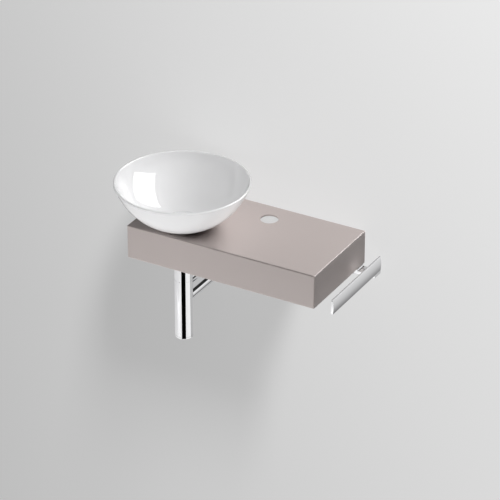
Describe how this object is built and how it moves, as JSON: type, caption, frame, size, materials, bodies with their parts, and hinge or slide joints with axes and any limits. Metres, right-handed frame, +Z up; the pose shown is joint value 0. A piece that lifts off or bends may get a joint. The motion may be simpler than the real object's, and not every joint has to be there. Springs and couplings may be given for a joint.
{
  "type": "wall-hung vessel sink",
  "caption": "Round vessel bowl on a shallow wall-hung metal console with a tap hole, push-open drain, cylinder trap, wall outlet and a side towel rail.",
  "frame": {"origin": "on the wall plane, midway between the two wall fixing holes", "axes": "+X to the right as seen from the front, +Y into the wall, +Z up"},
  "size_m": [0.4791, 0.3089, 0.333],
  "materials": {
    "console_lacquer": "satin taupe lacquer",
    "bowl_enamel": "gloss white enamel",
    "trap_chrome": "polished",
    "pipe_chrome": "polished",
    "drain_chrome": "polished",
    "rail_chrome": "polished",
    "bracket_steel": "zinc plated",
    "screw_steel": "zinc plated",
    "nut_brass": "turned",
    "seal_rubber": "matte",
    "inner_plastic": "moulded"
  },
  "bodies": {
    "sink": {"arm_nut_plate": "bracket_steel", "arm_screws": "screw_steel", "bowl": "bowl_enamel", "bowl_gasket": "seal_rubber", "bracket_screws": "screw_steel", "click_cartridge": "inner_plastic", "console_shell": "console_lacquer", "dip_tube": "inner_plastic", "outlet_oring": "seal_rubber", "outlet_tube": "pipe_chrome", "rail_arm": "rail_chrome", "rail_screws": "screw_steel", "support_plate": "bracket_steel", "towel_rail": "rail_chrome", "trap_body": "trap_chrome", "trap_head": "trap_chrome", "trap_seal": "seal_rubber", "trap_union_nut": "trap_chrome", "trap_union_washer": "seal_rubber", "wall_bracket_left": "bracket_steel", "wall_bracket_right": "bracket_steel", "waste_body": "drain_chrome", "waste_flange_seal": "seal_rubber", "waste_locknut": "nut_brass", "waste_washer": "seal_rubber"},
    "drain_plug": {"plug_cap": "bowl_enamel", "plug_seal": "seal_rubber", "plug_stem": "nut_brass"},
    "cleanout_seal": {"cleanout_oring": "seal_rubber"},
    "cleanout_cap": {"cleanout_cap": "trap_chrome"},
    "rosette": {"wall_rosette": "pipe_chrome", "rosette_oring": "seal_rubber"}
  },
  "joints": [
    {"name": "plug_lift", "type": "slide", "parent": "sink", "child": "drain_plug", "axis": [0, 0, 1], "range_m": [0, 0.009]},
    {"name": "cleanout_drop", "type": "slide", "parent": "sink", "child": "cleanout_seal", "axis": [0, 0, -1], "range_m": [0, 0.0081]},
    {"name": "cleanout_turn", "type": "hinge", "parent": "cleanout_seal", "child": "cleanout_cap", "pos_m": [-0.1115, -0.1435, -0.2065], "axis": [0, 0, -1], "range_deg": [0, 1440]},
    {"name": "rosette_slide", "type": "slide", "parent": "sink", "child": "rosette", "axis": [0, -1, 0], "range_m": [0, 0.115]}
  ],
  "couplings": [
    {"joint": "cleanout_drop", "follows": "cleanout_turn", "m_per_rad": 0.00031831}
  ]
}
